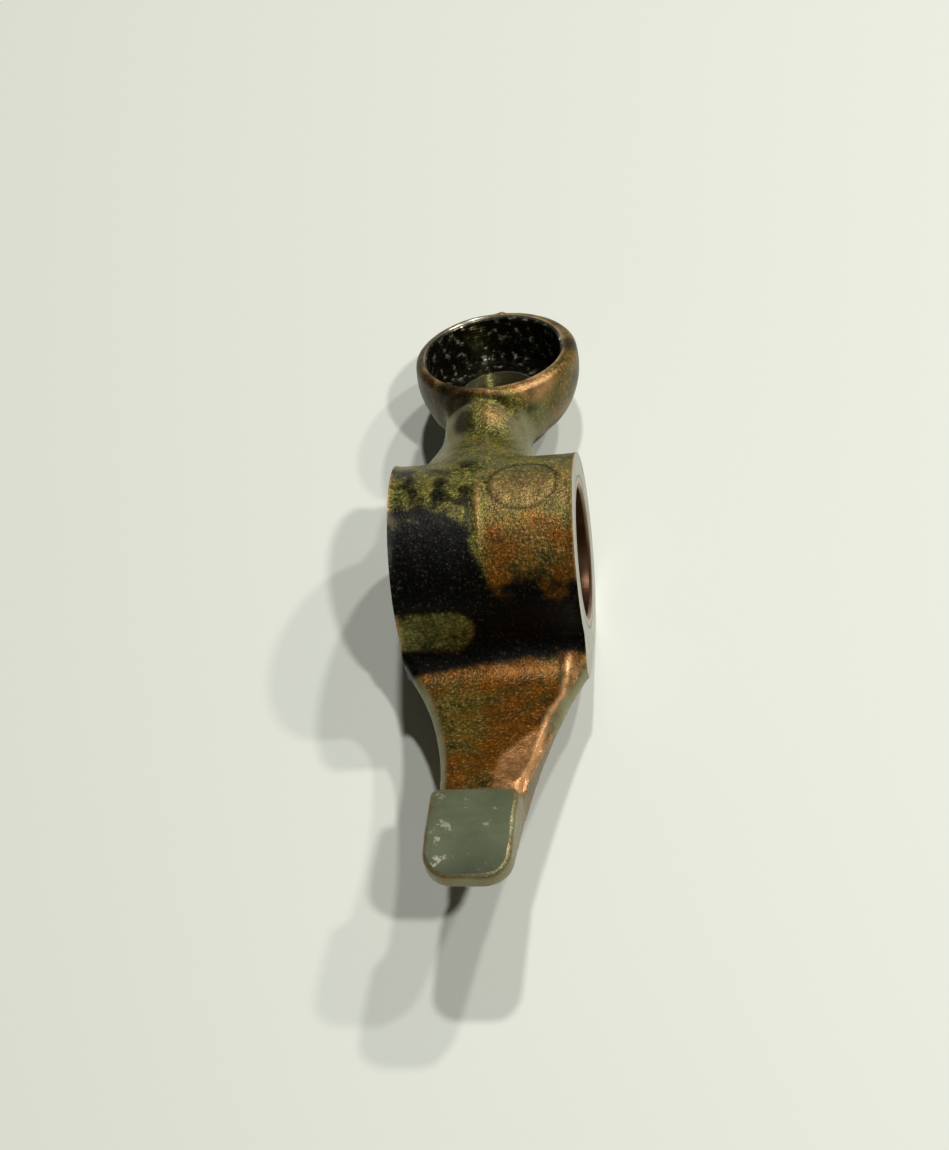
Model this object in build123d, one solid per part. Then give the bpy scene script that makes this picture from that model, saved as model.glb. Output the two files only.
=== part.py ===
from build123d import *
import os
from math import asin, atan2, cos, radians, sin, sqrt

# Rocker arm, upside down on its back: slipper pad and adjuster pocket both face up.
# Origin at the middle of the shaft bore, on the parting plane of the casting. +X runs
# along the shaft, +Y towards the adjuster pocket, +Z up. All sizes are in millimetres.

# ---- shaft bore, bush and barrel ------------------------------------------------
shaft_diameter = 18.0
bush_wall = 1.5
bush_end_chamfer = 0.4
barrel_wall = 3.1            # cast iron round the bush
barrel_length = 24.8         # between the two machined side faces

# ---- adjuster bowl --------------------------------------------------------------
bowl_reach = 34.2            # bore axis to the centre of the bowl's ball shape
bowl_wall = 1.75             # from the pocket's mouth to the ball shape
bowl_tilt = 21.8             # degrees that the mouth leans away from the barrel
mouth_rise = 2.6             # mouth plane above the ball centre, along the pocket
mouth_diameter = 20.2
pocket_side_offset = -0.3    # the pocket is bored a little towards -X
mouth_chamfer = 0.45
rim_bevel = 0.6
rim_bevel_break = 0.2        # takes the bevel's own two corners off
pocket_depth = 6.8
pocket_recess_diameter = 10.5
pocket_recess_depth = 1.2

# ---- neck between barrel and bowl -----------------------------------------------
neck_widths = (7.1, 4.5)     # towards -X and +X, at its waist
neck_side_gaps = (0.5, 4.8)  # from its flared foot to the two side faces
neck_below_rim = 1.0         # top of its waist below the near side of the mouth
neck_foot_sink = 1.6         # top of its foot below the top of the barrel
neck_round_height = 6.3      # rounded top of its waist, above the flat sides
neck_ground_gap = 2.4        # flat underside above the plane the arm stands on
neck_corner = 4.5            # rounding along the underside
neck_bowl_fillet = 2.0
neck_barrel_fillet = 3.0
# Stations from the foot to the end in the bowl: share of the way, share of the
# flare and share of the rise in the crown.
neck_stations = (
    (0.00, 1.00, 1.00),
    (0.23, 0.94, 0.67),
    (0.37, 0.68, 0.33),
    (0.50, 0.30, 0.12),
    (0.61, 0.06, 0.04),
    (0.75, 0.00, 0.00),
    (1.00, 0.00, -0.23),
)

# ---- oil feed from the shaft to the pocket --------------------------------------
oil_hole_diameter = 2.5

# ---- slipper pad ----------------------------------------------------------------
pad_reach = 47.0             # bore axis to the middle of the pad, along -Y
pad_length = 13.8
pad_width = 11.7
pad_side_offset = -1.4
pad_skew = 4.5               # degrees that the pad is turned about the vertical
pad_height = 9.7             # crest of the pad above the bore axis
pad_crest_shift = 3.0        # crest towards the tip, from the pad's middle
pad_radius = 31.0            # ground radius of the rubbing face
pad_step = 1.0               # pad above the arm behind it
pad_thickness = 3.2          # at the nose
pad_back_corner = 1.3
pad_nose_corner = 3.8
pad_edge_break = 0.3         # small bevel round the ground face
pad_overrun = 1.5            # keeps the profile longer than the turned plan

# ---- arm between barrel and pad -------------------------------------------------
arm_root_drop = 3.4          # where the arm's top meets the barrel, below the axis
arm_top_fillet = 5.0
side_face_reach = 16.4       # how far the machined side face runs along the arm
side_face_drop = 7.5         # lowest corner of that face, below the bore axis
heel_reach = 39.5            # where the underside turns up towards the nose
heel_drop = 1.6
underside_arch = 1.3         # rise of the hollowed underside above its chord
arm_root_widths = (14.9, 15.0)    # towards -X and +X, beside the barrel
arm_waist_widths = (8.4, 9.8)     # half way along the arm
arm_end_widths = (6.3, 4.1)       # inside the pad
top_edge_round = 1.3
low_edge_round = 2.5
draft = 3.0                  # degrees of draft either side of the parting plane

# ---- relief beside the pad, as three points of its plane -------------------------
relief_start = (7.1, -30.7, 6.3)
relief_pad_inner = (1.4, -39.5, 7.6)
relief_pad_outer = (5.1, -39.5, 4.8)

# ---- derived sizes --------------------------------------------------------------
shaft_radius = shaft_diameter / 2
bush_radius = shaft_radius + bush_wall
barrel_radius = bush_radius + barrel_wall
half_length = barrel_length / 2

mouth_radius = mouth_diameter / 2
bowl_radius = mouth_radius + bowl_wall

# The bowl and the barrel stand on one plane, so the ball centre hangs at its height.
stand_height = -barrel_radius
ball_centre = Vector(0, bowl_reach, stand_height + bowl_radius)
pocket_axis = Vector(0, sin(radians(bowl_tilt)), cos(radians(bowl_tilt)))
pocket_radius = mouth_radius - mouth_chamfer
rim_radius = sqrt(bowl_radius**2 - mouth_rise**2)
near_rim = ball_centre.Z + mouth_rise * pocket_axis.Z + rim_radius * pocket_axis.Y
floor_level = mouth_rise - pocket_depth
recess_radius = pocket_recess_diameter / 2
recess_level = floor_level - pocket_recess_depth

neck_crown = near_rim - neck_below_rim
neck_foot_crown = barrel_radius - neck_foot_sink
neck_spring = neck_crown - neck_round_height
neck_floor = stand_height + neck_ground_gap

pad_back = -(pad_reach - pad_length / 2)
pad_tip = -(pad_reach + pad_length / 2)
pad_crest = -(pad_reach + pad_crest_shift)


def pad_face_z(y):
    """Height of the ground rubbing face at a place along the arm."""
    return pad_height - pad_radius + sqrt(pad_radius**2 - (y - pad_crest) ** 2)


def cross_plane(y):
    """Plane across the arm at y, drawn with local x = X and local y = Z."""
    return Plane(origin=(0, y, 0), x_dir=(1, 0, 0), z_dir=(0, -1, 0))


def barrel():
    """Boss round the shaft."""
    return Rot(0, 90, 0) * Cylinder(barrel_radius, barrel_length)


def bowl_plane():
    """Plane through the ball's middle, local x outwards and local y up the pocket."""
    normal = Vector(1, 0, 0).cross(pocket_axis)
    return Plane(origin=ball_centre, x_dir=(1, 0, 0), z_dir=normal)


def bowl_outside():
    """Ball-shaped bowl, cut off flat at the mouth with its rim bevelled."""
    middle = radians(-30)
    outline = [
        Line((0, mouth_rise), (0, -bowl_radius)),
        ThreePointArc(
            (0, -bowl_radius),
            (bowl_radius * cos(middle), bowl_radius * sin(middle)),
            (rim_radius, mouth_rise),
        ),
        Line((rim_radius, mouth_rise), (0, mouth_rise)),
    ]
    section = make_face(outline)
    rim_corner = section.vertices().sort_by(Axis.X)[-1]
    section = chamfer(rim_corner, rim_bevel)
    bevel_corners = section.vertices().sort_by(Axis.X)[-2:]
    section = chamfer(bevel_corners, rim_bevel_break)
    return revolve(bowl_plane() * section, Axis(ball_centre, pocket_axis))


def pocket():
    """Machined pocket of the lash adjuster with its relief in the floor."""
    top = mouth_rise + 1.0
    outline = Polyline(
        (0, top),
        (mouth_radius + 1.0, top),
        (mouth_radius, mouth_rise),
        (pocket_radius, mouth_rise - mouth_chamfer),
        (pocket_radius, floor_level),
        (recess_radius, floor_level),
        (recess_radius, recess_level),
        (0, recess_level),
        close=True,
    )
    tool = revolve(bowl_plane() * make_face(outline), Axis(ball_centre, pocket_axis))
    return Pos(pocket_side_offset, 0, 0) * tool


def neck_section(y, width_left, width_right, crown):
    """Bar with flat sides, a rounded top and rounded lower corners."""
    centre = (width_right - width_left) / 2
    half = (width_right + width_left) / 2
    rise = crown - neck_spring
    outline = [
        Line((centre - half, neck_floor), (centre + half, neck_floor)),
        Line((centre + half, neck_floor), (centre + half, neck_spring)),
        EllipticalCenterArc((centre, neck_spring), half, rise, 0, arc_size=90),
        EllipticalCenterArc((centre, neck_spring), half, rise, 90, arc_size=90),
        Line((centre - half, neck_spring), (centre - half, neck_floor)),
    ]
    section = make_face(outline)
    section = fillet(section.vertices().group_by(Axis.Y)[0], neck_corner)
    return cross_plane(y) * section


def neck():
    """Neck that widens and rises from the bowl into the back of the barrel."""
    foot = 0.44 * barrel_radius
    end = bowl_reach - 0.3 * bowl_radius
    (waist_left, waist_right) = neck_widths
    flare_left = half_length - neck_side_gaps[0] - waist_left
    flare_right = half_length - neck_side_gaps[1] - waist_right
    sections = []
    for way, flare, rise in neck_stations:
        y = foot + way * (end - foot)
        left = waist_left + flare * flare_left
        right = waist_right + flare * flare_right
        crown = neck_crown + rise * (neck_foot_crown - neck_crown)
        sections.append(neck_section(y, left, right, crown))
    return loft(sections)


def joint_edges(shape, height_above):
    """Curved edges that lie on a surface, told by their height above it."""
    curved = shape.edges().filter_by(GeomType.BSPLINE)
    return [edge for edge in curved if abs(height_above(edge @ 0.5)) < 0.1 * barrel_wall]


def above_ball(point):
    """Height of a point above the bowl's ball."""
    return (point - ball_centre).length - bowl_radius


def above_barrel(point):
    """Height of a point above the round of the barrel."""
    return sqrt(point.Y**2 + point.Z**2) - barrel_radius


def barrel_and_bowl():
    """Barrel and bowl joined by the neck, with cast fillets at both of its ends."""
    body = barrel() + neck() + bowl_outside()
    body = fillet(joint_edges(body, above_ball), neck_bowl_fillet)
    return fillet(joint_edges(body, above_barrel), neck_barrel_fillet)


def turned(vector, angle):
    """2D vector turned anticlockwise by an angle in degrees."""
    x, y = vector
    c, s = cos(radians(angle)), sin(radians(angle))
    return (x * c - y * s, x * s + y * c)


def top_blend(root, back):
    """Arc that is tangent to the barrel and to the line from root to back."""
    length = sqrt((back[0] - root[0]) ** 2 + (back[1] - root[1]) ** 2)
    along = ((back[0] - root[0]) / length, (back[1] - root[1]) / length)
    above = turned(along, -90)
    lift = (root[0] + above[0] * arm_top_fillet, root[1] + above[1] * arm_top_fillet)
    reach = barrel_radius + arm_top_fillet
    half_b = lift[0] * along[0] + lift[1] * along[1]
    rest = lift[0] ** 2 + lift[1] ** 2 - reach**2
    travel = -half_b + sqrt(half_b**2 - rest)
    centre = (lift[0] + along[0] * travel, lift[1] + along[1] * travel)
    share = barrel_radius / reach
    on_barrel = (centre[0] * share, centre[1] * share)
    on_line = (root[0] + along[0] * travel, root[1] + along[1] * travel)
    start = atan2(on_barrel[1] - centre[1], on_barrel[0] - centre[0])
    end = atan2(on_line[1] - centre[1], on_line[0] - centre[0])
    middle = (start + end) / 2
    via = (
        centre[0] + arm_top_fillet * cos(middle),
        centre[1] + arm_top_fillet * sin(middle),
    )
    return ThreePointArc(on_barrel, via, on_line)


def arm_side_profile():
    """Arm seen along the shaft, drawn in Y and Z on the parting plane."""
    root = (-sqrt(barrel_radius**2 - arm_root_drop**2), -arm_root_drop)
    back = (pad_back, pad_face_z(pad_back) - pad_step)
    blend = top_blend(root, back)
    corner = (-side_face_reach, -side_face_drop)
    corner_angle = atan2(corner[1], corner[0])
    span = sqrt(corner[0] ** 2 + corner[1] ** 2)
    touch_angle = corner_angle + radians(90) - asin(barrel_radius / span)
    touch = (barrel_radius * cos(touch_angle), barrel_radius * sin(touch_angle))
    heel = (-heel_reach, -heel_drop)
    crest_y = (heel[0] + corner[0]) / 2
    crest = (crest_y, (heel[1] + corner[1]) / 2 + underside_arch)
    inside_pad = pad_back - 0.3 * pad_length
    lines = [
        Line((0, 0), blend @ 0),
        blend,
        Polyline(
            blend @ 1,
            back,
            (inside_pad, back[1]),
            (inside_pad, -heel_drop + 0.3 * pad_length),
            heel,
        ),
        ThreePointArc(heel, crest, corner),
        Polyline(corner, touch, (0, 0)),
    ]
    return make_face(lines)


def arm_plan():
    """Arm seen from above: two flanks that sweep in from the barrel to the pad."""
    root_y = -0.8 * barrel_radius
    waist_y = -0.52 * pad_reach
    end_y = pad_back - 0.3 * pad_length
    (root_l, root_r) = arm_root_widths
    (waist_l, waist_r) = arm_waist_widths
    (end_l, end_r) = arm_end_widths
    outline = [
        Line((-root_l, 0), (root_r, 0)),
        Line((root_r, 0), (root_r, root_y)),
        ThreePointArc((root_r, root_y), (waist_r, waist_y), (end_r, end_y)),
        Line((end_r, end_y), (-end_l, end_y)),
        ThreePointArc((-end_l, end_y), (-waist_l, waist_y), (-root_l, root_y)),
        Line((-root_l, root_y), (-root_l, 0)),
    ]
    return make_face(outline)


def long_edges(shape, above_axis):
    """Edges along the arm on the chosen side of the bore axis, off its middle."""
    chosen = []
    for edge in shape.edges():
        middle = edge @ 0.5
        run = abs((edge @ 1).Y - (edge @ 0).Y)
        if run > 0.3 * pad_reach and abs(middle.X) > 0.2 * pad_width:
            if (middle.Z > -0.5 * arm_root_drop) == above_axis:
                chosen.append(edge)
    return chosen


def arm():
    """Tapering arm: its drafted side profile, trimmed to its plan."""
    profile = Plane.YZ * arm_side_profile()
    body = extrude(profile, barrel_length, both=True, taper=draft)
    body = body & extrude(arm_plan(), 2 * barrel_radius, both=True)
    body = fillet(long_edges(body, False), low_edge_round)
    body = body & Box(barrel_length, 4 * pad_reach, 4 * barrel_radius)
    return fillet(long_edges(body, True), top_edge_round)


def pad_side_profile():
    """Pad and nose seen along the shaft, a little longer than its plan."""
    start = pad_back + pad_overrun
    end = pad_tip - pad_overrun
    tip_low = pad_face_z(pad_tip) - pad_thickness
    rise = (tip_low + heel_drop) / (heel_reach + pad_tip)
    start_low = -heel_drop + rise * (heel_reach + start)
    end_low = -heel_drop + rise * (heel_reach + end)
    outline = [
        ThreePointArc(
            (start, pad_face_z(start)),
            (pad_crest, pad_height),
            (end, pad_face_z(end)),
        ),
        Polyline(
            (end, pad_face_z(end)),
            (end, end_low),
            (start, start_low),
            (start, pad_face_z(start)),
        ),
    ]
    return make_face(outline)


def pad_plan(back_corner):
    """Pad seen from above: a rectangle with rounded corners, turned by its skew."""
    outline = Rectangle(pad_width, pad_length)
    outline = fillet(outline.vertices().group_by(Axis.Y)[0], pad_nose_corner)
    if back_corner:
        outline = fillet(outline.vertices().group_by(Axis.Y)[-1], back_corner)
    return Pos(pad_side_offset, -pad_reach, 0) * Rot(0, 0, -pad_skew) * outline


def pad():
    """Slipper pad with its ground face, ground sides and rounded nose."""
    profile = Plane.YZ * pad_side_profile()
    body = extrude(profile, pad_width, both=True)
    block = body & extrude(pad_plan(0), 2 * barrel_radius, both=True)
    underside = block.faces().sort_by(Axis.Z)[0]
    block = fillet(underside.edges().sort_by(Axis.Y)[:-1], low_edge_round)
    block = block & extrude(pad_plan(pad_back_corner), 2 * barrel_radius, both=True)
    rubbing_face = block.faces().sort_by(Axis.Z)[-1]
    return chamfer(rubbing_face.edges(), pad_edge_break)


def relief():
    """Half space that slopes off the arm's corner beside the pad, on the +X side."""
    start = Vector(relief_start)
    across = Vector(relief_pad_inner) - start
    down = Vector(relief_pad_outer) - start
    plane = Plane(origin=start, x_dir=across, z_dir=across.cross(down))
    size = pad_reach
    wedge = plane * Pos(0, 0, size / 2) * Box(size, size, size)
    length = 0.3 * pad_reach
    ahead_of_pad = Rot(0, 0, -pad_skew) * Box(size, length, size)
    return wedge & (Pos(0, pad_back + length / 2, 0) * ahead_of_pad)


def oil_hole():
    """Straight feed drilling from the shaft bore to the relief under the pocket."""
    relief_centre = ball_centre + pocket_axis * (recess_level + pocket_recess_depth / 2)
    path = Line((0, 0, 0), relief_centre)
    length = path.length - recess_radius + oil_hole_diameter / 2
    circle = Plane(origin=path @ 0, z_dir=path % 0) * Circle(oil_hole_diameter / 2)
    return extrude(circle, length)


def casting():
    """The whole casting with its machined faces and bores."""
    body = barrel_and_bowl() + arm() + pad()
    body = body - relief() - pocket() - oil_hole()
    return body - Rot(0, 90, 0) * Cylinder(bush_radius, 2 * barrel_length)


def bush():
    """Pressed bronze bush, chamfered at both ends of its bore."""
    tube = Cylinder(bush_radius, barrel_length) - Cylinder(shaft_radius, barrel_length)
    inner_edges = tube.edges().filter_by(GeomType.CIRCLE).group_by(SortBy.RADIUS)[0]
    tube = chamfer(inner_edges, bush_end_chamfer)
    return Rot(0, 90, 0) * tube - oil_hole()


os.makedirs("parts", exist_ok=True)
arm_casting = casting()
shaft_bush = bush()
export_step(arm_casting, "parts/arm_casting.step")
export_step(shaft_bush, "parts/shaft_bush.step")
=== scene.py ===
import math

import bmesh
import bpy
from mathutils import Matrix, Vector, noise


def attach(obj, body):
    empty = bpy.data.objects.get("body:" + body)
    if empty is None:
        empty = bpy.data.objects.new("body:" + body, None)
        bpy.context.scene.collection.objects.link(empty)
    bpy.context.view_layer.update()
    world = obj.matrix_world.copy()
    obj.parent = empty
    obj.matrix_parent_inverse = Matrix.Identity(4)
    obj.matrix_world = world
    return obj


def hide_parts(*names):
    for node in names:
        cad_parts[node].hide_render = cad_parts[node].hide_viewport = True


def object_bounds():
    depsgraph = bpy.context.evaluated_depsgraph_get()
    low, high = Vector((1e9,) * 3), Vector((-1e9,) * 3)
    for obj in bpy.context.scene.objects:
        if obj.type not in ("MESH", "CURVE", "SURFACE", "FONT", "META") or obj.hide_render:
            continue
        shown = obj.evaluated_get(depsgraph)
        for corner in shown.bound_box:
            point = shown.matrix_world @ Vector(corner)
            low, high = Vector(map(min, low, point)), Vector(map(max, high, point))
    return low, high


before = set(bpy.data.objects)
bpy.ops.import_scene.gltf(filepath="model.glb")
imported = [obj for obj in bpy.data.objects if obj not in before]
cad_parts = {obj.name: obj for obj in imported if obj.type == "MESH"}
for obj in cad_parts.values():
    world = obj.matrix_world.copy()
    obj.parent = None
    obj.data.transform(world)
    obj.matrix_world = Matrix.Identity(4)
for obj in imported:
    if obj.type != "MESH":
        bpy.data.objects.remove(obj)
cad_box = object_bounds()

# ---- Rocker arm casting ----------------------------------------------------------
# One iron casting of barrel, slipper arm and adjuster bowl, from a sand mould that parts
# along the middle of the arm. Its side faces, rubbing pad and pocket are machined, and the
# rest keeps its rough skin, stained brown and black by oil. Shade, a dark reflection,
# highlights and glints are painted onto the skin as well.
MM = 0.001
SIDE_FACE = 12.4 * MM           # machined side faces, either side of the origin
BARREL_RADIUS = 13.6 * MM
BUSH_SEAT_RADIUS = 10.5 * MM
PAD_RADIUS = 31.0 * MM          # ground rubbing face, a cylinder across the arm
PAD_CREST = Vector((0, -50.0, 9.7)) * MM
PAD_BACK = -40.1 * MM
BALL_CENTRE = Vector((0, 34.2, -1.75)) * MM
POCKET_TILT = math.radians(21.8)
POCKET_AXIS = Vector((0, math.sin(POCKET_TILT), math.cos(POCKET_TILT)))
POCKET_SIDE_OFFSET = Vector((-0.3, 0, 0)) * MM
MOUTH_RISE = 2.6 * MM           # height of the pocket's mouth over the ball's centre
MOUTH_RADIUS = 10.1 * MM
POCKET_FLOOR = -6 * MM
PARTING_X = -0.4 * MM           # the flash line stands a little to one side
SKIN_SINK = 0.13 * MM           # the rough skin's mean depth inside the nominal shape
ON_FACE = 0.05 * MM             # how near a face a point counts as lying on it
SKIN, SIDE, PAD, BORED = range(4)   # kinds of surface, in the order of the materials


def smooth_step(low, high, value):
    """0 below low, 1 above high, and a smooth rise between them."""
    share = min(max((value - low) / (high - low), 0.0), 1.0)
    return share * share * (3 - 2 * share)


def bump(value, centre, half_width):
    """1 at the centre, falling smoothly to 0 at half_width from it."""
    return 1 - smooth_step(0, half_width, abs(value - centre))


def pocket_place(co):
    """Height along the pocket from the ball's centre, and distance from its axis."""
    offset = co - BALL_CENTRE - POCKET_SIDE_OFFSET
    height = offset.dot(POCKET_AXIS)
    return height, (offset - POCKET_AXIS * height).length


def surface_of(co):
    """Kind of surface of the casting that a point lies on."""
    if abs(co.x) > SIDE_FACE - 0.03 * MM:
        return SIDE
    pad_offset = Vector((0, co.y - PAD_CREST.y, co.z - PAD_CREST.z + PAD_RADIUS))
    if co.y < PAD_BACK + 0.6 * MM and abs(pad_offset.length - PAD_RADIUS) < ON_FACE:
        return PAD
    height, radius = pocket_place(co)
    if radius < MOUTH_RADIUS + ON_FACE and POCKET_FLOOR < height < MOUTH_RISE + ON_FACE:
        return BORED
    if math.hypot(co.y, co.z) < BUSH_SEAT_RADIUS + ON_FACE:
        return BORED
    return SKIN


# The solid's long, thin faces are remeshed evenly, about 0.4 mm apart, so that the skin's
# unevenness can be worked into them.
cad_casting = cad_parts["arm_casting"]
casting_mesh = cad_casting.data.copy()
casting_mesh.materials.clear()
bm = bmesh.new()
bm.from_mesh(casting_mesh)
bmesh.ops.remove_doubles(bm, verts=bm.verts, dist=0.001 * MM)
bm.to_mesh(casting_mesh)
bm.free()
casting = bpy.data.objects.new("rough_casting", casting_mesh)
bpy.context.collection.objects.link(casting)
remesh = casting.modifiers.new("even_faces", "REMESH")
remesh.mode = "SHARP"
remesh.octree_depth = 8
remesh.scale = 0.98
remesh.sharpness = 1.0
remesh.use_remove_disconnected = False
casting_shape = casting.evaluated_get(bpy.context.evaluated_depsgraph_get())
skin_mesh = bpy.data.meshes.new_from_object(casting_shape)
casting.modifiers.remove(remesh)

bm = bmesh.new()
bm.from_mesh(skin_mesh)
# The layers below carry painted light as well: painted shade and a dark reflection with the
# oil, painted highlights with the rubbed metal, and a painted pale reflection with the dry
# grey.
surfaces = bm.verts.layers.int.new("surface")
oil_and_dark_shade = bm.verts.layers.float.new("oil_and_dark_shade")
varnish = bm.verts.layers.float.new("varnish")
rubbed_and_highlight = bm.verts.layers.float.new("rubbed_and_highlight")
dry_and_pale_reflection = bm.verts.layers.float.new("dry_and_pale_reflection")
for vert in bm.verts:
    vert[surfaces] = surface_of(vert.co)

# The pad's outermost points are given to the skin, which rounds its rim, and the borders
# of the pad and the pocket are drawn smooth. The bush's seat, nearer the shaft, is left.
pad_rim = [
    vert for vert in bm.verts
    if vert[surfaces] == PAD
    and any(edge.other_vert(vert)[surfaces] == SKIN for edge in vert.link_edges)
]
for vert in pad_rim:
    vert[surfaces] = SKIN
BARREL_REACH = 18 * MM
BORDER_PASSES = 8
border_edges = []
for machined in (PAD, BORED):
    border_edges += [
        edge for edge in bm.edges
        if edge.verts[0].co.length > BARREL_REACH and sum(
            all(v[surfaces] == machined for v in face.verts) for face in edge.link_faces) == 1
    ]
for _ in range(BORDER_PASSES):
    pulled = {}
    for edge in border_edges:
        for vert in edge.verts:
            pulled.setdefault(vert, []).append(edge.other_vert(vert).co.copy())
    for vert, ends in pulled.items():
        vert.co = (vert.co + sum(ends, Vector()) / len(ends)) / 2
rough_verts = [vert for vert in bm.verts if vert[surfaces] == SKIN]
for _ in range(2):
    bmesh.ops.smooth_vert(
        bm, verts=rough_verts, factor=0.5,
        use_axis_x=True, use_axis_y=True, use_axis_z=True,
    )

# Share of the skin's depth: full away from machined faces, none where it meets them.
skin_share = {vert: float(vert[surfaces] == SKIN) for vert in bm.verts}
for _ in range(3):
    skin_share = {
        vert: 0.0 if vert[surfaces] != SKIN else
        sum(skin_share[edge.other_vert(vert)] for edge in vert.link_edges)
        / len(vert.link_edges)
        for vert in bm.verts
    }


def swell(co):
    """Slow unevenness of the sand mould, a few millimetres across."""
    return noise.noise(co / (4.5 * MM)) + 0.5 * noise.noise(co / (2.1 * MM))


def grain(co):
    """Sand grain that shows in the outline, under a millimetre across."""
    return noise.noise(co / (0.9 * MM))


def parting(co):
    """Where the flash line runs, a little unevenly, and how plainly it shows."""
    line = PARTING_X + 0.25 * MM * noise.noise(co / (6 * MM))
    shows = smooth_step(-8 * MM, -4 * MM, co.y) * smooth_step(-6 * MM, 0, co.z)
    return line, shows


def flash_ridge(co):
    """Thin ridge that the fettler left along the parting of the mould."""
    line, shows = parting(co)
    return bump(co.x, line, 0.6 * MM) * shows


def mould_step(co):
    """The mould's left half sat a little low, so the skin steps down there."""
    line, shows = parting(co)
    return smooth_step(line, line - 0.5 * MM, co.x) * shows


def angle_round(co):
    """Angle of a point round the shaft from straight up, growing towards the arm."""
    return math.atan2(-co.y, co.z)


PATCH_ANGLE = math.radians(77)
PATCH_HALF_WIDTH = 3.3 * MM
PATCH_END = -5.2 * MM           # centre of the patch's round end
PATCH_RISE = 0.32 * MM


def foundry_patch(co):
    """Low raised patch on the barrel above the arm, with a round end."""
    up = (angle_round(co) - PATCH_ANGLE) * BARREL_RADIUS / PATCH_HALF_WIDTH
    along = max(co.x - PATCH_END, 0) / PATCH_HALF_WIDTH
    return 1 - smooth_step(0.75, 1.05, math.hypot(up, along))


def line_at(points, value):
    """Second number of a line of points, in metres, where its first number is value."""
    for (x0, y0), (x1, y1) in zip(points, points[1:]):
        if x0 * MM <= value <= x1 * MM:
            return (y0 + (value / MM - x0) / (x1 - x0) * (y1 - y0)) * MM
    return None


# Line of the arch over the neck's end, as pairs of X and Y in millimetres.
NECK_ARCH = (
    (-8.0, 23.0), (-6.5, 23.6), (-4.8, 23.9), (-2.2, 24.1), (0.5, 23.2), (3.0, 21.7),
    (5.2, 20.2))
NECK_END_RISE = 0.75 * MM
NECK_CREASE = 0.6 * MM


def neck_end(co):
    """Full, rounded end of the neck, which stops in an arch below the pocket's rim."""
    arch = line_at(NECK_ARCH, co.x)
    if arch is None:
        return 0.0
    across = smooth_step(-7.6 * MM, -6 * MM, co.x) * smooth_step(4.8 * MM, 2.5 * MM, co.x)
    along = smooth_step(16.5 * MM, 21 * MM, co.y) * smooth_step(arch, arch - 0.5 * MM, co.y)
    crease = bump(co.y, arch + 0.5 * MM, 1.5 * MM)
    on_top = smooth_step(-1 * MM, 1 * MM, co.z)
    return across * (NECK_END_RISE * along - NECK_CREASE * crease) * on_top


def arch_edge(co):
    """Thin proud edge along the arch at the end of the neck."""
    arch = line_at(NECK_ARCH, co.x)
    if arch is None or co.z < -1 * MM:
        return 0.0
    return bump(co.y, arch - 0.45 * MM, 0.55 * MM) * smooth_step(4.8 * MM, 2.5 * MM, co.x)


# Lines on the arm, as pairs of Y and X in millimetres.
ARM_RIDGE = (
    (-40.0, 4.3), (-36.2, 5.2), (-33.8, 6.1), (-26.0, 7.7), (-22.3, 9.3), (-16.5, 9.9),
    (-14.0, 10.6))
FACET_EDGE = ((-40.0, 0.9), (-36.4, 0.8), (-33.6, 1.5), (-30.3, 4.2), (-27.5, 7.2))
RIDGE_RISE = 0.32 * MM
FACET_SLOPE = 0.17
FACET_DEPTH = 0.7 * MM


def ridge_side(co):
    """Distance of a point of the arm to the right of the ridge along its top."""
    ridge = line_at(ARM_RIDGE, co.y)
    return None if ridge is None else co.x - ridge


def facet_width(co):
    """How far a point of the arm lies to the right of the facet's edge."""
    edge = line_at(FACET_EDGE, co.y)
    return 0.0 if edge is None else max(co.x - edge, 0.0)


def arm_relief(co):
    """Ridge on the arm's right shoulder and the rough facet that falls towards it."""
    beside = ridge_side(co)
    if beside is None:
        return 0.0
    ends = smooth_step(-14.5 * MM, -18 * MM, co.y) * smooth_step(-39.9 * MM, -39.2 * MM, co.y)
    ridge = RIDGE_RISE * bump(beside, 0, 0.95 * MM)
    facet = min(FACET_SLOPE * facet_width(co), FACET_DEPTH) * smooth_step(2.6 * MM, 0, beside)
    return ends * (ridge - facet)


RING_ANGLE = math.radians(-13)
RING_X = 5.7 * MM
RING_RADIUS = 4.4 * MM
RING_STRETCH = 1.05             # the ring is a little longer along the shaft
RING_DEPTH = 0.09 * MM


def foundry_ring(co):
    """Faint sunken ring in the skin on the right half of the barrel."""
    across = (angle_round(co) - RING_ANGLE) * BARREL_RADIUS
    distance = math.hypot((co.x - RING_X) / RING_STRETCH, across)
    return bump(distance, RING_RADIUS, 0.45 * MM)


def rim_nub(co):
    """Stub of the flash on the far side of the bowl's rim."""
    height, radius = pocket_place(co)
    on_rim = smooth_step(MOUTH_RISE - 0.9 * MM, MOUTH_RISE - 0.1 * MM, height)
    return on_rim * bump(co.x, 0.3 * MM, 0.8 * MM) * (co.y > BALL_CENTRE.y)


SWELL_HEIGHT = 0.045 * MM
GRAIN_HEIGHT = 0.022 * MM
FLASH_HEIGHT = 0.12 * MM
MOULD_STEP_DEPTH = 0.10 * MM
NUB_HEIGHT = 0.3 * MM


def skin_rise(co, normal):
    """How far the rough skin stands above the nominal shape."""
    rise = -SKIN_SINK + SWELL_HEIGHT * swell(co) + GRAIN_HEIGHT * grain(co)
    rise += FLASH_HEIGHT * flash_ridge(co) - MOULD_STEP_DEPTH * mould_step(co)
    patch = 0.0
    if abs(math.hypot(co.y, co.z) - BARREL_RADIUS) < 0.5 * MM:
        rise -= RING_DEPTH * foundry_ring(co) * smooth_step(5 * MM, 8 * MM, co.z)
        patch = PATCH_RISE * foundry_patch(co)
    rise = min(rise, 0) + patch
    if normal.z > 0.3:
        rise += neck_end(co) + arm_relief(co)
    return rise


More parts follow.
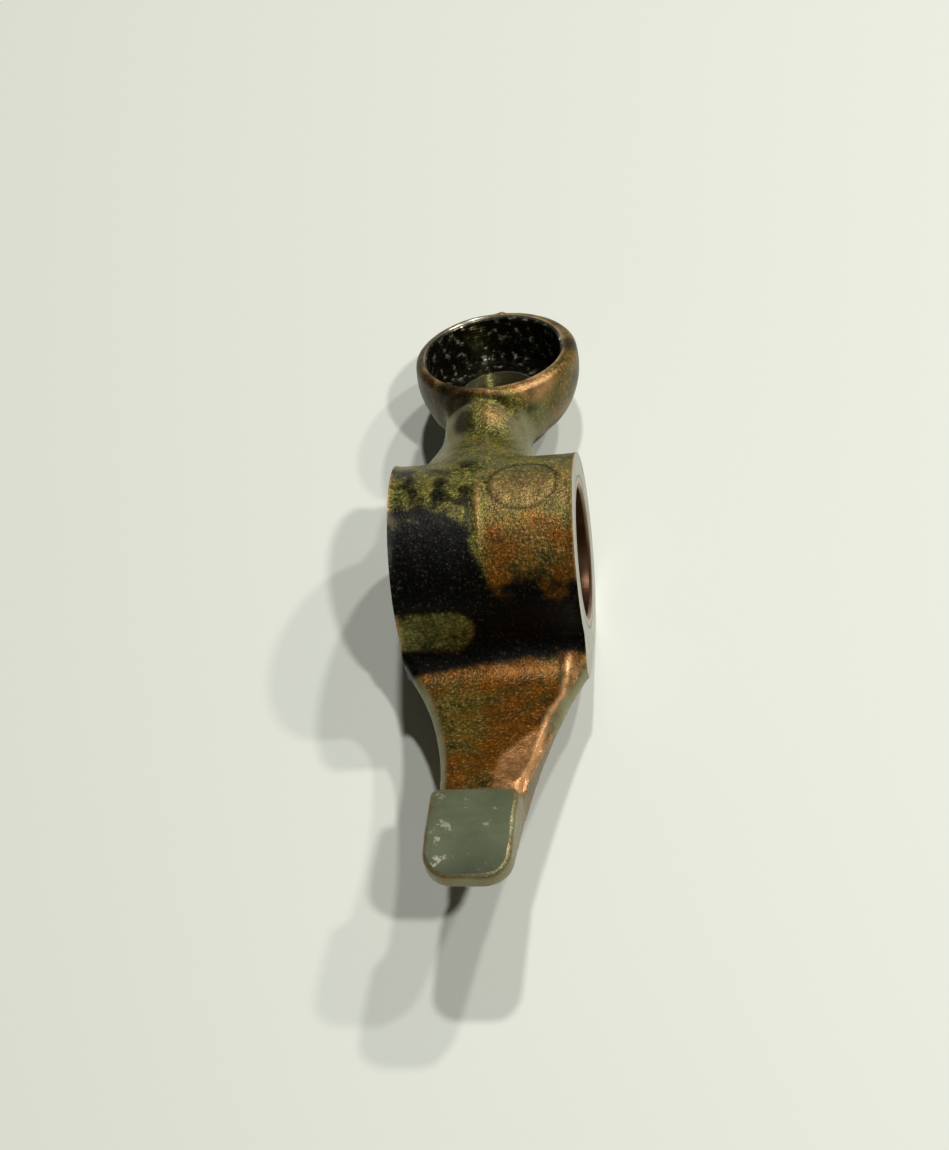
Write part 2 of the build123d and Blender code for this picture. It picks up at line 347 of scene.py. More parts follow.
bm.normal_update()
moves = []
for vert in rough_verts:
    nub = POCKET_AXIS * (NUB_HEIGHT * rim_nub(vert.co))
    rise = skin_rise(vert.co, vert.normal)
    moves.append((vert, vert.normal * rise * skin_share[vert] + nub))
for vert, move in moves:
    vert.co += move
# The even mesh stands a few microns proud of the solid's flat faces, so it is held to
# the solid's box.
for vert in bm.verts:
    vert.co = [min(max(value, low), high) for value, low, high in zip(vert.co, *cad_box)]
bm.normal_update()

# How hollow the skin is at each of its points, less than 0 where it stands proud.
hollow = {}
for vert in bm.verts:
    ring = [edge.other_vert(vert).co for edge in vert.link_edges]
    middle = sum(ring, Vector()) / len(ring)
    spread = sum((co - vert.co).length for co in ring) / len(ring)
    hollow[vert] = (middle - vert.co).dot(vert.normal) / spread
for _ in range(2):
    hollow.update({
        vert: 0.5 * hollow[vert] + 0.5
        * sum(hollow[edge.other_vert(vert)] for edge in vert.link_edges)
        / len(vert.link_edges)
        for vert in rough_verts
    })


def stain_wander(co):
    """How far the border of a stain strays, in degrees round the barrel."""
    return 13 * noise.noise(co / (4 * MM)) + 9 * noise.noise(co / (1.5 * MM))


def on_barrel(co):
    """1 on the round of the barrel, falling to 0 where the arm and the neck leave it."""
    radius = math.hypot(co.y, co.z)
    return 1 - smooth_step(BARREL_RADIUS + 0.1 * MM, BARREL_RADIUS + 1.2 * MM, radius)


def nearness(co, place, reach, full=0.5):
    """1 near a place given in millimetres, falling to 0 at reach from it."""
    return 1 - smooth_step(full, 1.0, (co - Vector(place) * MM).length / reach)


def oil_and_dark_reflection_on_barrel(co):
    """Painted dark reflection on the barrel's front, drawn black, and black oil in islands on
    its left half and in the ring.
    """
    around = math.degrees(angle_round(co))
    start = 3 + 46 * smooth_step(-4 * MM, 2 * MM, co.x) + stain_wander(co)
    front = smooth_step(start - 8, start + 8, around) * (1 - smooth_step(112, 120, around))
    islands = 0.88 * smooth_step(-0.05, 0.22, noise.noise(co / (2.3 * MM)))
    islands *= smooth_step(0, -2 * MM, co.x)
    islands *= smooth_step(-50, -35, around) * (1 - smooth_step(80, 90, around))
    in_ring = 0.8 * foundry_ring(co) * (co.z > 8 * MM)
    return max(front, islands, in_ring) * on_barrel(co)


def painted_shade_in_root(co, normal):
    """Painted black shade in the crease where the arm leaves the barrel."""
    root = -16.2 * MM + 0.07 * co.x + 0.03 * stain_wander(co) * MM
    in_root = smooth_step(root - 0.7 * MM, root + 0.5 * MM, co.y)
    in_root *= smooth_step(72, 82, math.degrees(angle_round(co)))
    return in_root * smooth_step(-0.6, -0.2, normal.z)


def painted_shade_on_bowl(co):
    """Painted shade on the bowl, darker in patches towards its left, and black under the
    front left of its rim.
    """
    left_side_shade = 0.7 * smooth_step(-0.1, 0.3, noise.noise(co / (4.2 * MM)) - co.x / (30 * MM))
    left_side_shade *= smooth_step(24.5 * MM, 26 * MM, co.y)
    return max(left_side_shade, 0.85 * nearness(co, (-5.5, 25.8, 3.0), 4.2 * MM))


def painted_shade_beside_neck(co):
    """Painted shade in the fold on the left of the neck's end."""
    distance = math.hypot((co.x + 3.8 * MM) / (1.9 * MM), (co.y - 20.2 * MM) / (2.8 * MM))
    return 0.8 * (1 - smooth_step(0.5, 1.1, distance)) * (co.z > 0)


def oil_and_dark_shade_at(co, normal):
    """How black the skin is: oil, with a painted dark reflection on the barrel's front and
    painted shade in the root, beside the neck and on the bowl. The raised patch is wiped
    nearly clean.
    """
    on_front = max(oil_and_dark_reflection_on_barrel(co), painted_shade_in_root(co, normal))
    on_front *= 1 - 0.78 * foundry_patch(co)
    return max(on_front, painted_shade_beside_neck(co), painted_shade_on_bowl(co))


def varnish_at(co):
    """How brown the burnt-on varnish is: thick on the arm, thin and olive elsewhere."""
    olive_patch = math.hypot((co.x + 4 * MM) / (5 * MM), (co.y + 25 * MM) / (8 * MM))
    on_arm = smooth_step(-13.2 * MM, -14.6 * MM, co.y)
    on_arm *= 0.55 + 0.45 * smooth_step(0.3, 1.2, olive_patch)
    around = math.degrees(angle_round(co))
    right_half = smooth_step(-1 * MM, 1.5 * MM, co.x) * smooth_step(-12, 22, around)
    on_bowl = 0.5 * smooth_step(24 * MM, 26 * MM, co.y)
    brown = max(on_arm, 0.85 * right_half * on_barrel(co), on_bowl) + stain_wander(co) / 50
    return brown - 0.8 * foundry_patch(co) * on_barrel(co)


def beside_pad(co):
    """1 on the grey skin round the pad's rim."""
    return smooth_step(-39.2 * MM, -40.0 * MM, co.y) * smooth_step(3 * MM, 5 * MM, co.z)


def ridge_wear_and_highlight(co, normal):
    """Painted highlight with bright worn metal along the arm's ridge, and dimmer over the
    facet beside it.
    """
    beside = ridge_side(co)
    if beside is None or normal.z <= 0.2:
        return 0.0
    reach = (0.6 + 0.7 * smooth_step(-28 * MM, -34 * MM, co.y)) * MM
    ridge = 1.5 * bump(beside + 0.1 * MM, 0, reach)
    ridge *= smooth_step(-14.5 * MM, -17 * MM, co.y)
    facet = smooth_step(0, 0.6 * MM, facet_width(co)) * (beside < 0.3 * MM)
    return max(ridge, 0.4 * facet)


def flash_and_neck_highlight(co):
    """Painted highlight on the flash line over the barrel, and on the neck's rounded end."""
    line, shows = parting(co)
    around = math.degrees(angle_round(co))
    flash = 0.9 * bump(co.x, line, 0.45 * MM) * shows * bump(around, -2, 26)
    distance = math.hypot((co.x - 0.6 * MM) / (2.6 * MM), (co.y - 20.8 * MM) / (2.6 * MM))
    return max(flash, 0.4 * (1 - smooth_step(0.3, 1.0, distance)) * (co.z > 0))


def rubbed_and_highlight_at(co, normal, proud):
    """How bright the skin is: worn metal where it stands proud, and painted highlights on the
    ridge, the flash line, the neck's end, the barrel's top and the bowl's shoulder.
    """
    around = math.degrees(angle_round(co))
    # Painted highlights on the barrel's top and on the bowl's near shoulder.
    barrel_top_highlight = 0.3 * bump(around, -9, 24) * smooth_step(0, 2 * MM, co.x) * on_barrel(co)
    shoulder_highlight = 0.75 * nearness(co, (6.6, 26.6, 5.0), 5.0 * MM, full=0.35)
    edges = 0.8 * smooth_step(0.05, 0.16, proud)
    brightest = max(ridge_wear_and_highlight(co, normal), flash_and_neck_highlight(co), barrel_top_highlight, shoulder_highlight, edges)
    return brightest * (0.75 + 0.6 * noise.noise(co / (1.2 * MM))) * (1 - beside_pad(co))


def dry_and_pale_reflection_at(co, normal):
    """How grey the skin is: a painted pale reflection on the left flanks, grey skin on the
    right flanks, and dry skin on the rims and round the pad.
    """
    left_flank_reflection = smooth_step(0.12, 0.45, -normal.x)
    right_flank = smooth_step(0.35, 0.8, normal.x)
    right_flank *= 0.35 + 0.65 * smooth_step(-30 * MM, -24 * MM, co.y)
    flank = max(left_flank_reflection, right_flank) * (1 - on_barrel(co))
    flank *= 1 - smooth_step(24 * MM, 26 * MM, co.y) * smooth_step(-9 * MM, -5 * MM, co.z)
    height, radius = pocket_place(co)
    lip = 0.9 * bump(radius, MOUTH_RADIUS, 0.45 * MM) * (height > MOUTH_RISE - 0.6 * MM)
    greyest = max(flank, 0.9 * beside_pad(co), lip, 0.7 * arch_edge(co))
    return greyest * (0.85 + 0.4 * noise.noise(co / (3 * MM)))


for vert in bm.verts:
    vert[oil_and_dark_shade] = oil_and_dark_shade_at(vert.co, vert.normal)
    vert[varnish] = varnish_at(vert.co)
    vert[rubbed_and_highlight] = rubbed_and_highlight_at(vert.co, vert.normal, -hollow[vert])
    vert[dry_and_pale_reflection] = dry_and_pale_reflection_at(vert.co, vert.normal)

for face in bm.faces:
    face.smooth = True
    kinds = [vert[surfaces] for vert in face.verts]
    face.material_index = kinds[0] if len(set(kinds)) == 1 else SKIN
SHARP_BEND = math.radians(40)
for edge in bm.edges:
    kinds = {face.material_index for face in edge.link_faces}
    machined = any(vert[surfaces] != SKIN for vert in edge.verts)
    if len(kinds) > 1 or (machined and edge.calc_face_angle(0) > SHARP_BEND):
        edge.smooth = False
bm.to_mesh(skin_mesh)
bm.free()
casting.data = skin_mesh


def linear(hex_colour):
    """sRGB hex value as the linear colour that a shader socket takes."""
    channels = [int(hex_colour[i:i + 2], 16) / 255 for i in (1, 3, 5)]
    curve = [c / 12.92 if c <= 0.04045 else ((c + 0.055) / 1.055) ** 2.4 for c in channels]
    return (*curve, 1.0)


def add_node(tree, kind, inputs=None, **settings):
    """Adds a node, sets its properties, and sets or links its inputs.

    A colour Mix node takes its two colours at inputs 6 and 7 and gives output 2, because
    its names A, B and Result belong to the sockets for plain numbers as well.
    """
    node = tree.nodes.new(kind)
    for name, value in settings.items():
        setattr(node, name, value)
    for socket, value in (inputs or {}).items():
        if isinstance(value, bpy.types.NodeSocket):
            tree.links.new(value, node.inputs[socket])
        else:
            node.inputs[socket].default_value = value
    return node


def new_material(name):
    """New material whose node tree is empty, and that tree."""
    material = bpy.data.materials.new(name)
    material.use_nodes = True
    material.node_tree.nodes.clear()
    return material, material.node_tree


# Sand-cast iron soaked in engine oil: rough and grainy, brown or olive where the oil has
# burnt on thin and black where it is thick, with bright metal on rubbed edges. Painted into
# its colour as well: black shade in the arm's root, beside the neck and on the bowl, a black
# painted reflection on the barrel's front, a pale painted reflection on the left flanks, and
# painted highlights and glints, bright copper, on the ridge, the flash line, the barrel's
# top, the bowl's shoulder and the grain. The grain is drawn 0.4 mm apart, about twice that of
# moulding sand, so that it shows. Here and in the materials below, a noise's scale is its
# number of cells in a millimetre.
cast_skin, tree = new_material("sand_cast_iron_oil_stained_and_painted_light")
place = add_node(tree, "ShaderNodeTexCoord").outputs["Object"]
clouding = add_node(tree, "ShaderNodeTexNoise", {
    "Vector": place, "Scale": 0.33 / MM, "Detail": 5.0, "Roughness": 0.7}).outputs["Fac"]
stains = add_node(tree, "ShaderNodeMapRange", {
    "Value": clouding, "From Min": 0.3, "From Max": 0.72}).outputs["Result"]
sand = add_node(tree, "ShaderNodeTexNoise", {
    "Vector": place, "Scale": 2.4 / MM, "Detail": 2.0, "Roughness": 0.7}).outputs["Fac"]
varnish_layer = add_node(tree, "ShaderNodeAttribute", attribute_name="varnish")
oil_and_shade_layer = add_node(tree, "ShaderNodeAttribute", attribute_name="oil_and_dark_shade")
rubbed_and_highlight_layer = add_node(tree, "ShaderNodeAttribute", attribute_name="rubbed_and_highlight")
olive = add_node(tree, "ShaderNodeMix", {
    "Factor": stains, 6: linear("#27300a"), 7: linear("#9a9444")}, data_type="RGBA")
brown = add_node(tree, "ShaderNodeMix", {
    "Factor": stains, 6: linear("#3d2103"), 7: linear("#85530c")}, data_type="RGBA")
patchy = add_node(tree, "ShaderNodeMath", {
    0: stains, 1: 0.9, 2: -0.45}, operation="MULTIPLY_ADD")
how_brown = add_node(tree, "ShaderNodeMath", {
    0: varnish_layer.outputs["Fac"], 1: patchy.outputs["Value"]},
    operation="ADD", use_clamp=True)
stained = add_node(tree, "ShaderNodeMix", {
    "Factor": how_brown.outputs["Value"], 6: olive.outputs[2], 7: brown.outputs[2]},
    data_type="RGBA")
coarseness = add_node(tree, "ShaderNodeMath", {
    0: varnish_layer.outputs["Fac"], 1: -0.45, 2: 1.0},
    operation="MULTIPLY_ADD", use_clamp=True)
grit_contrast = add_node(tree, "ShaderNodeMath", {
    0: coarseness.outputs["Value"], 1: -0.72, 2: 0.95}, operation="MULTIPLY_ADD")
grit = add_node(tree, "ShaderNodeMapRange", {
    "Value": sand, "From Min": 0.3, "From Max": 0.7,
    "To Min": grit_contrast.outputs["Value"], "To Max": 1.5})
gritty = add_node(tree, "ShaderNodeMix", {
    "Factor": 1.0, 6: stained.outputs[2], 7: grit.outputs["Result"]},
    data_type="RGBA", blend_type="MULTIPLY")
dry_and_pale_reflection_layer = add_node(tree, "ShaderNodeAttribute", attribute_name="dry_and_pale_reflection")
# Grey where the skin is dry, and a painted pale reflection on the left flanks.
greyed = add_node(tree, "ShaderNodeMix", {
    "Factor": dry_and_pale_reflection_layer.outputs["Fac"], 6: gritty.outputs[2], 7: linear("#87835e")},
    data_type="RGBA")
# Painted glints: bright flecks on the proudest grains of sand, and the rubbed and highlighted
# metal, in a bright copper colour.
glinting_grain = add_node(tree, "ShaderNodeMapRange", {
    "Value": sand, "From Min": 0.6, "From Max": 0.68, "To Min": 0.0,
    "To Max": coarseness.outputs["Value"]})
away_from_grey = add_node(tree, "ShaderNodeMath", {
    0: dry_and_pale_reflection_layer.outputs["Fac"], 1: -0.5, 2: 0.5}, operation="MULTIPLY_ADD", use_clamp=True)
sparkle = add_node(tree, "ShaderNodeMath", {
    0: glinting_grain.outputs["Result"], 1: away_from_grey.outputs["Value"],
    2: rubbed_and_highlight_layer.outputs["Fac"]}, operation="MULTIPLY_ADD", use_clamp=True)
wear_highlight_and_glint = add_node(tree, "ShaderNodeMix", {
    "Factor": sparkle.outputs["Value"], 6: greyed.outputs[2], 7: linear("#dba36d")},
    data_type="RGBA")
# The black is oil, painted shade and a painted dark reflection, with grit showing through it
# in specks.
specks = add_node(tree, "ShaderNodeMapRange", {
    "Value": sand, "From Min": 0.58, "From Max": 0.70, "To Min": 1.0, "To Max": 0.86})
oil_and_shade_depth = add_node(tree, "ShaderNodeMath", {
    0: oil_and_shade_layer.outputs["Fac"], 1: specks.outputs["Result"]}, operation="MULTIPLY")
oiled_and_shaded = add_node(tree, "ShaderNodeMix", {
    "Factor": oil_and_shade_depth.outputs["Value"], 6: wear_highlight_and_glint.outputs[2], 7: linear("#060503")},
    data_type="RGBA")
skin_sheen = add_node(tree, "ShaderNodeMapRange", {
    "Value": sand, "From Min": 0.3, "From Max": 0.7, "To Min": 0.28, "To Max": 0.52})
under_oil_and_shade = add_node(tree, "ShaderNodeMath", {
    0: oil_and_shade_layer.outputs["Fac"], 1: -0.75, 2: 1.0}, operation="MULTIPLY_ADD")
skin_relief = add_node(tree, "ShaderNodeMath", {
    0: coarseness.outputs["Value"], 1: under_oil_and_shade.outputs["Value"]}, operation="MULTIPLY")
skin_bump = add_node(tree, "ShaderNodeBump", {
    "Strength": skin_relief.outputs["Value"], "Distance": 0.16 * MM, "Height": sand})
skin_shader = add_node(tree, "ShaderNodeBsdfPrincipled", {
    "Base Color": oiled_and_shaded.outputs[2], "Metallic": 0.55, "Specular IOR Level": 0.35,
    "Roughness": skin_sheen.outputs["Result"], "Normal": skin_bump.outputs["Normal"]})
add_node(tree, "ShaderNodeOutputMaterial", {"Surface": skin_shader.outputs["BSDF"]})

# Ground side face of the barrel: bare grey iron with fine straight grinding lines. The
# lines are drawn 0.3 mm apart, coarser than the wheel's grit, so that they show.
side_face, tree = new_material("surface_ground_iron")
place = add_node(tree, "ShaderNodeTexCoord").outputs["Object"]
along_wheel = add_node(tree, "ShaderNodeMapping", {
    "Vector": place, "Rotation": (math.radians(20), 0, 0), "Scale": (1, 1, 0.04)})
scratches = add_node(tree, "ShaderNodeTexNoise", {
    "Vector": along_wheel.outputs["Vector"], "Scale": 3.3 / MM, "Detail": 2.0}).outputs["Fac"]
smears = add_node(tree, "ShaderNodeTexNoise", {
    "Vector": place, "Scale": 0.35 / MM, "Detail": 4.0}).outputs["Fac"]
bare = add_node(tree, "ShaderNodeMix", {
    "Factor": smears, 6: linear("#8f8a78"), 7: linear("#c3c1b4")}, data_type="RGBA")
side_sheen = add_node(tree, "ShaderNodeMapRange", {
    "Value": scratches, "From Min": 0.3, "From Max": 0.7, "To Min": 0.28, "To Max": 0.5})
side_bump = add_node(tree, "ShaderNodeBump", {
    "Strength": 0.35, "Distance": 0.01 * MM, "Height": scratches})
side_shader = add_node(tree, "ShaderNodeBsdfPrincipled", {
    "Base Color": bare.outputs[2], "Metallic": 1.0,
    "Roughness": side_sheen.outputs["Result"], "Normal": side_bump.outputs["Normal"]})
add_node(tree, "ShaderNodeOutputMaterial", {"Surface": side_shader.outputs["BSDF"]})

# Ground and run-in rubbing pad: smooth chilled iron, darkened grey-green by burnt oil, with
# pale pits and scuffs where the cam has picked at it. Painted shade darkens it along its
# curve towards the tip.
pad_face, tree = new_material("chilled_iron_run_in")
place = add_node(tree, "ShaderNodeTexCoord").outputs["Object"]
clouds = add_node(tree, "ShaderNodeTexNoise", {
    "Vector": place, "Scale": 0.17 / MM, "Detail": 4.0, "Roughness": 0.55}).outputs["Fac"]
scuffs = add_node(tree, "ShaderNodeTexNoise", {
    "Vector": place, "Scale": 0.62 / MM, "Detail": 3.0, "Roughness": 0.6}).outputs["Fac"]
tarnish = add_node(tree, "ShaderNodeMix", {
    "Factor": clouds, 6: linear("#42482f"), 7: linear("#747a5e")}, data_type="RGBA")
across_pad = add_node(tree, "ShaderNodeSeparateXYZ", {"Vector": place})
towards_left = add_node(tree, "ShaderNodeMapRange", {
    "Value": across_pad.outputs["X"],
    "From Min": -2.5 * MM, "From Max": -5.5 * MM, "To Min": 0.0, "To Max": 0.09})
scuff_level = add_node(tree, "ShaderNodeMath", {
    0: scuffs, 1: towards_left.outputs["Result"]}, operation="ADD")
pitted = add_node(tree, "ShaderNodeMapRange", {
    "Value": scuff_level.outputs["Value"],
    "From Min": 0.66, "From Max": 0.74, "To Min": 0.0, "To Max": 0.6})
# Painted shade along the pad's curve: lighter by the arm, darker towards the tip.
painted_shade_towards_tip = add_node(tree, "ShaderNodeMapRange", {
    "Value": across_pad.outputs["Y"],
    "From Min": -41 * MM, "From Max": -53 * MM, "To Min": 1.45, "To Max": 0.42})
shaded_tarnish = add_node(tree, "ShaderNodeMix", {
    "Factor": 1.0, 6: tarnish.outputs[2], 7: painted_shade_towards_tip.outputs["Result"]},
    data_type="RGBA", blend_type="MULTIPLY")
worn_pad = add_node(tree, "ShaderNodeMix", {
    "Factor": pitted.outputs["Result"], 6: shaded_tarnish.outputs[2], 7: linear("#b3ae96")},
    data_type="RGBA")
pad_bump = add_node(tree, "ShaderNodeBump", {
    "Strength": 0.4, "Distance": 0.03 * MM, "Height": scuffs})
pad_shader = add_node(tree, "ShaderNodeBsdfPrincipled", {
    "Base Color": worn_pad.outputs[2], "Metallic": 0.7, "Roughness": 0.48,
    "Normal": pad_bump.outputs["Normal"]})
add_node(tree, "ShaderNodeOutputMaterial", {"Surface": pad_shader.outputs["BSDF"]})

# Bored pocket: turned iron, dark with old oil that lies in the tool marks, with painted
# glints on beads of oil. The marks are drawn 0.45 mm apart, about twice the real feed.
TOOL_MARK_SPACING = 0.45 * MM
RECESS_RADIUS = 5.25 * MM
RECESS_LEVEL = -5.2 * MM
pocket_face, tree = new_material("turned_iron_oily")
place = add_node(tree, "ShaderNodeTexCoord").outputs["Object"]
from_ball = add_node(tree, "ShaderNodeVectorMath", {
    0: place, 1: BALL_CENTRE + POCKET_SIDE_OFFSET}, operation="SUBTRACT")
depth = add_node(tree, "ShaderNodeVectorMath", {
    0: from_ball.outputs["Vector"], 1: POCKET_AXIS}, operation="DOT_PRODUCT")
foot = add_node(tree, "ShaderNodeVectorMath", {
    0: POCKET_AXIS, "Scale": depth.outputs["Value"]}, operation="SCALE")
spoke = add_node(tree, "ShaderNodeVectorMath", {
    0: from_ball.outputs["Vector"], 1: foot.outputs["Vector"]}, operation="SUBTRACT")
radius_here = add_node(tree, "ShaderNodeVectorMath", {
    0: spoke.outputs["Vector"]}, operation="LENGTH")
tool_path = add_node(tree, "ShaderNodeMath", {
    0: depth.outputs["Value"], 1: radius_here.outputs["Value"]}, operation="ADD")
feed = add_node(tree, "ShaderNodeMath", {
    0: tool_path.outputs["Value"], 1: 2 * math.pi / TOOL_MARK_SPACING}, operation="MULTIPLY")
rings = add_node(tree, "ShaderNodeMath", {0: feed.outputs["Value"]}, operation="SINE")
drops = add_node(tree, "ShaderNodeTexNoise", {
    "Vector": place, "Scale": 0.9 / MM, "Detail": 3.0, "Roughness": 0.6}).outputs["Fac"]
old_oil = add_node(tree, "ShaderNodeMapRange", {
    "Value": drops, "From Min": 0.48, "From Max": 0.68, "To Min": 0.0, "To Max": 1.0})
oily = add_node(tree, "ShaderNodeMix", {
    "Factor": old_oil.outputs["Result"], 6: linear("#2a271b"), 7: linear("#696650")},
    data_type="RGBA")
# Painted glints: near-white flecks on beads of oil.
glinting_beads = add_node(tree, "ShaderNodeMapRange", {
    "Value": drops, "From Min": 0.60, "From Max": 0.65, "To Min": 0.0, "To Max": 1.0})
turned = add_node(tree, "ShaderNodeMix", {
    "Factor": glinting_beads.outputs["Result"], 6: oily.outputs[2], 7: linear("#e2dfcc")},
    data_type="RGBA")
by_mouth = add_node(tree, "ShaderNodeMapRange", {
    "Value": depth.outputs["Value"],
    "From Min": MOUTH_RISE - 0.3 * MM, "From Max": MOUTH_RISE - 0.1 * MM,
    "To Min": 0.0, "To Max": 0.7})
clean_lip = add_node(tree, "ShaderNodeMix", {
    "Factor": by_mouth.outputs["Result"], 6: turned.outputs[2], 7: linear("#b9b39c")},
    data_type="RGBA")
from_step = add_node(tree, "ShaderNodeMath", {
    0: radius_here.outputs["Value"], 1: RECESS_RADIUS}, operation="SUBTRACT")
off_step = add_node(tree, "ShaderNodeMath", {
    0: from_step.outputs["Value"]}, operation="ABSOLUTE")
step_edge = add_node(tree, "ShaderNodeMapRange", {
    "Value": off_step.outputs["Value"],
    "From Min": 0.35 * MM, "From Max": 0.15 * MM, "To Min": 0.0, "To Max": 0.9})
floor_edge = add_node(tree, "ShaderNodeMix", {
    "Factor": step_edge.outputs["Result"], 6: clean_lip.outputs[2], 7: linear("#b4b096")},
    data_type="RGBA")
in_recess = add_node(tree, "ShaderNodeMapRange", {
    "Value": depth.outputs["Value"],
    "From Min": RECESS_LEVEL, "From Max": RECESS_LEVEL - 0.15 * MM,
    "To Min": 0.0, "To Max": 0.75})
recess = add_node(tree, "ShaderNodeMix", {
    "Factor": in_recess.outputs["Result"], 6: floor_edge.outputs[2], 7: linear("#6f6b40")},
    data_type="RGBA")
uneven = add_node(tree, "ShaderNodeMath", {
    0: rings.outputs["Value"], 1: 0.12, 2: drops}, operation="MULTIPLY_ADD")
pocket_bump = add_node(tree, "ShaderNodeBump", {
    "Strength": 0.7, "Distance": 0.06 * MM, "Height": uneven.outputs["Value"]})
pocket_shader = add_node(tree, "ShaderNodeBsdfPrincipled", {
    "Base Color": recess.outputs[2], "Metallic": 0.9, "Roughness": 0.26,
    "Normal": pocket_bump.outputs["Normal"]})
add_node(tree, "ShaderNodeOutputMaterial", {"Surface": pocket_shader.outputs["BSDF"]})

for material in (cast_skin, side_face, pad_face, pocket_face):
    casting.data.materials.append(material)
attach(casting, "root")
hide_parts("arm_casting")

# ---- Shaft bush ------------------------------------------------------------------
# Thin bronze sleeve pressed into the barrel and bored to the shaft, its ends ground
# flush with the side faces.
BUSH_BORE_RADIUS = 9.0 * MM

# Bored bronze: pinkish tan on its ground ends, brown and glossy with oil in the bore, and
# black where the oil lies in the joint round its outside.
bush_bronze, tree = new_material("bored_bronze_oiled")
place = add_node(tree, "ShaderNodeTexCoord").outputs["Object"]
across_shaft = add_node(tree, "ShaderNodeVectorMath", {
    0: place, 1: (0, 1, 1)}, operation="MULTIPLY")
from_shaft = add_node(tree, "ShaderNodeVectorMath", {
    0: across_shaft.outputs["Vector"]}, operation="LENGTH")
ground_end = add_node(tree, "ShaderNodeMapRange", {
    "Value": from_shaft.outputs["Value"],
    "From Min": BUSH_BORE_RADIUS + 0.1 * MM, "From Max": BUSH_BORE_RADIUS + 0.5 * MM,
    "To Min": 0.0, "To Max": 1.0})
joint = add_node(tree, "ShaderNodeMapRange", {
    "Value": from_shaft.outputs["Value"],
    "From Min": BUSH_SEAT_RADIUS - 0.4 * MM, "From Max": BUSH_SEAT_RADIUS - 0.25 * MM,
    "To Min": 0.0, "To Max": 1.0})
bore_stains = add_node(tree, "ShaderNodeTexNoise", {
    "Vector": place, "Scale": 0.42 / MM, "Detail": 4.0}).outputs["Fac"]
bore_brown = add_node(tree, "ShaderNodeMix", {
    "Factor": bore_stains, 6: linear("#3a2413"), 7: linear("#7a5a42")}, data_type="RGBA")
end_tan = add_node(tree, "ShaderNodeMix", {
    "Factor": bore_stains, 6: linear("#8c715c"), 7: linear("#b99c84")}, data_type="RGBA")
bronze = add_node(tree, "ShaderNodeMix", {
    "Factor": ground_end.outputs["Result"], 6: bore_brown.outputs[2], 7: end_tan.outputs[2]},
    data_type="RGBA")
jointed = add_node(tree, "ShaderNodeMix", {
    "Factor": joint.outputs["Result"], 6: bronze.outputs[2], 7: linear("#15110b")},
    data_type="RGBA")
bush_shader = add_node(tree, "ShaderNodeBsdfPrincipled", {
    "Base Color": jointed.outputs[2], "Metallic": 0.9, "Roughness": 0.33})
add_node(tree, "ShaderNodeOutputMaterial", {"Surface": bush_shader.outputs["BSDF"]})
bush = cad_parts["shaft_bush"]
for slot in bush.material_slots:
    slot.material = bush_bronze

# ---- Table top -------------------------------------------------------------------
# Pale laminated board that the arm lies on. Its face is level with the lowest line of
# the barrel.
FLOOR_LEVEL = -BARREL_RADIUS
BOARD_HALF_SIZE = 2.0
floor_mesh = bpy.data.meshes.new("table_top")
bm = bmesh.new()
bmesh.ops.create_grid(bm, x_segments=1, y_segments=1, size=BOARD_HALF_SIZE)
bmesh.ops.translate(bm, verts=bm.verts, vec=(0, 0, FLOOR_LEVEL))
bm.to_mesh(floor_mesh)
bm.free()
floor = bpy.data.objects.new("table_top", floor_mesh)
bpy.context.collection.objects.link(floor)
board, tree = new_material("pale_laminate")
board_shader = add_node(tree, "ShaderNodeBsdfPrincipled", {
    "Base Color": linear("#e0e3d6"), "Metallic": 0.0, "Roughness": 0.55})
add_node(tree, "ShaderNodeOutputMaterial", {"Surface": board_shader.outputs["BSDF"]})
floor_mesh.materials.append(board)

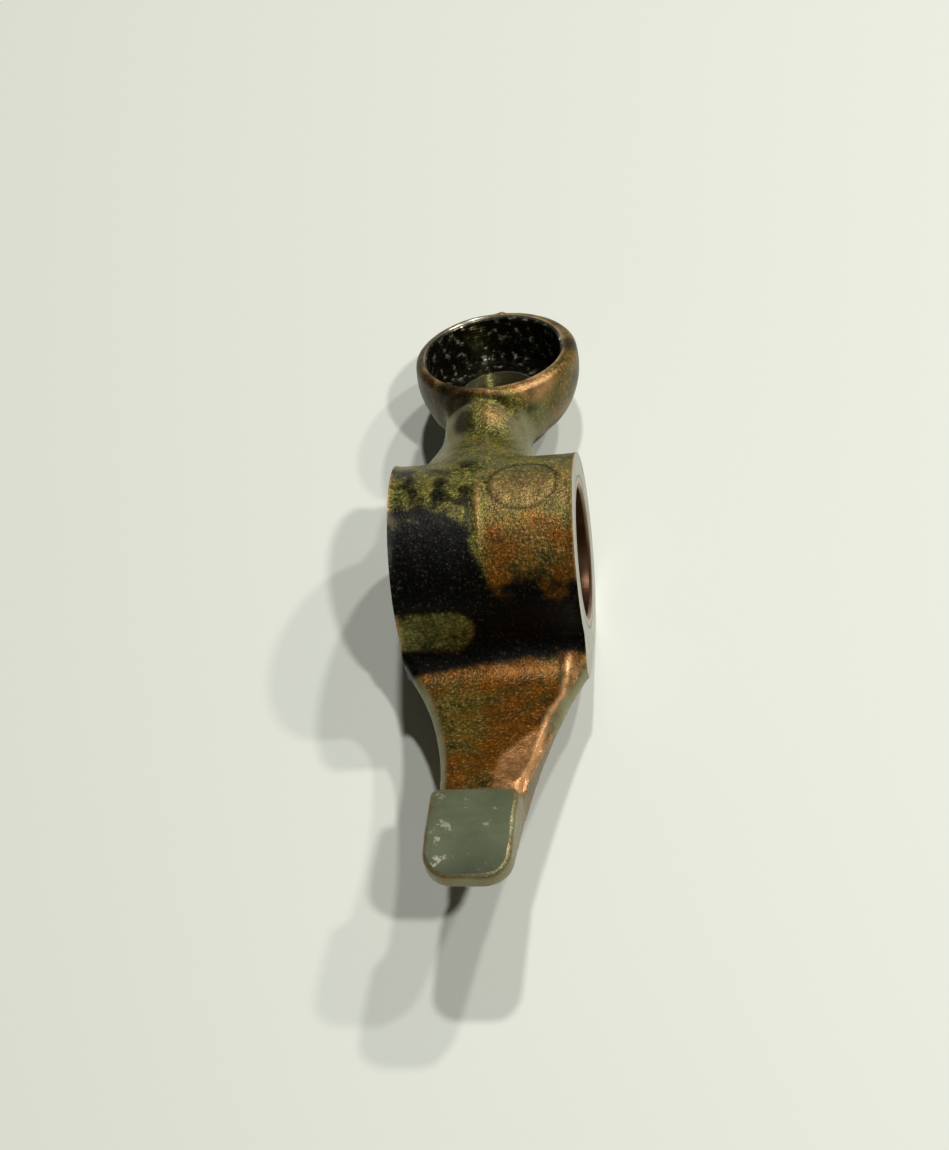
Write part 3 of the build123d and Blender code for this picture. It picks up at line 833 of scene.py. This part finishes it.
# ---- Studio light ----------------------------------------------------------------
# Four small ceiling lamps, each casting its own shadow on the board, and a dim room. The
# rows below give each lamp's name, direction and watts.
LAMP_DISTANCE = 1.1
LAMP_SIZE = 0.06
lamps = (
    ("lamp_front", (0.48, -0.36, 1), 4.4),
    ("lamp_right", (0.76, 0.31, 1), 2.3),
    ("lamp_back_right", (0.50, 0.58, 1), 3.2),
    ("lamp_back", (0.09, 0.33, 1), 4.0),
)
for name, towards, watts in lamps:
    light = bpy.data.lights.new(name, "AREA")
    light.shape = "DISK"
    light.size = LAMP_SIZE
    light.energy = watts
    lamp = bpy.data.objects.new(name, light)
    direction = Vector(towards).normalized()
    lamp.location = direction * LAMP_DISTANCE
    lamp.rotation_euler = direction.to_track_quat("Z", "Y").to_euler()
    bpy.context.collection.objects.link(lamp)

world = bpy.data.worlds.new("room")
bpy.context.scene.world = world
world.use_nodes = True
world.node_tree.nodes.clear()
room = add_node(world.node_tree, "ShaderNodeBackground", {
    "Color": linear("#e8ebe0"), "Strength": 0.05})
add_node(world.node_tree, "ShaderNodeOutputWorld", {"Surface": room.outputs["Background"]})

# ---- Camera ----------------------------------------------------------------------
# Looks down on the arm from beyond the slipper pad, a little to its right, through a
# long lens.
SENSOR_WIDTH = 36.0
FRAME_WIDTH_PIXELS = 949
FOCAL_PIXELS = 3000
camera_data = bpy.data.cameras.new("camera")
camera_data.sensor_fit = "HORIZONTAL"
camera_data.sensor_width = SENSOR_WIDTH
camera_data.lens = FOCAL_PIXELS / FRAME_WIDTH_PIXELS * SENSOR_WIDTH
camera_data.clip_start = 0.01
camera = bpy.data.objects.new("camera", camera_data)
bpy.context.collection.objects.link(camera)
camera_back = Vector((0.13043, -0.550321, 0.824703))
camera.location = Vector((50.595, -227.070, 336.507)) * MM
camera_up = Vector((0.072675, 0.834878, 0.545617))
camera_right = camera_up.cross(camera_back)
camera_axes = Matrix((camera_right, camera_up, camera_back)).transposed()
camera.rotation_euler = camera_axes.to_euler()
bpy.context.scene.camera = camera
bpy.context.scene.view_settings.view_transform = "Standard"
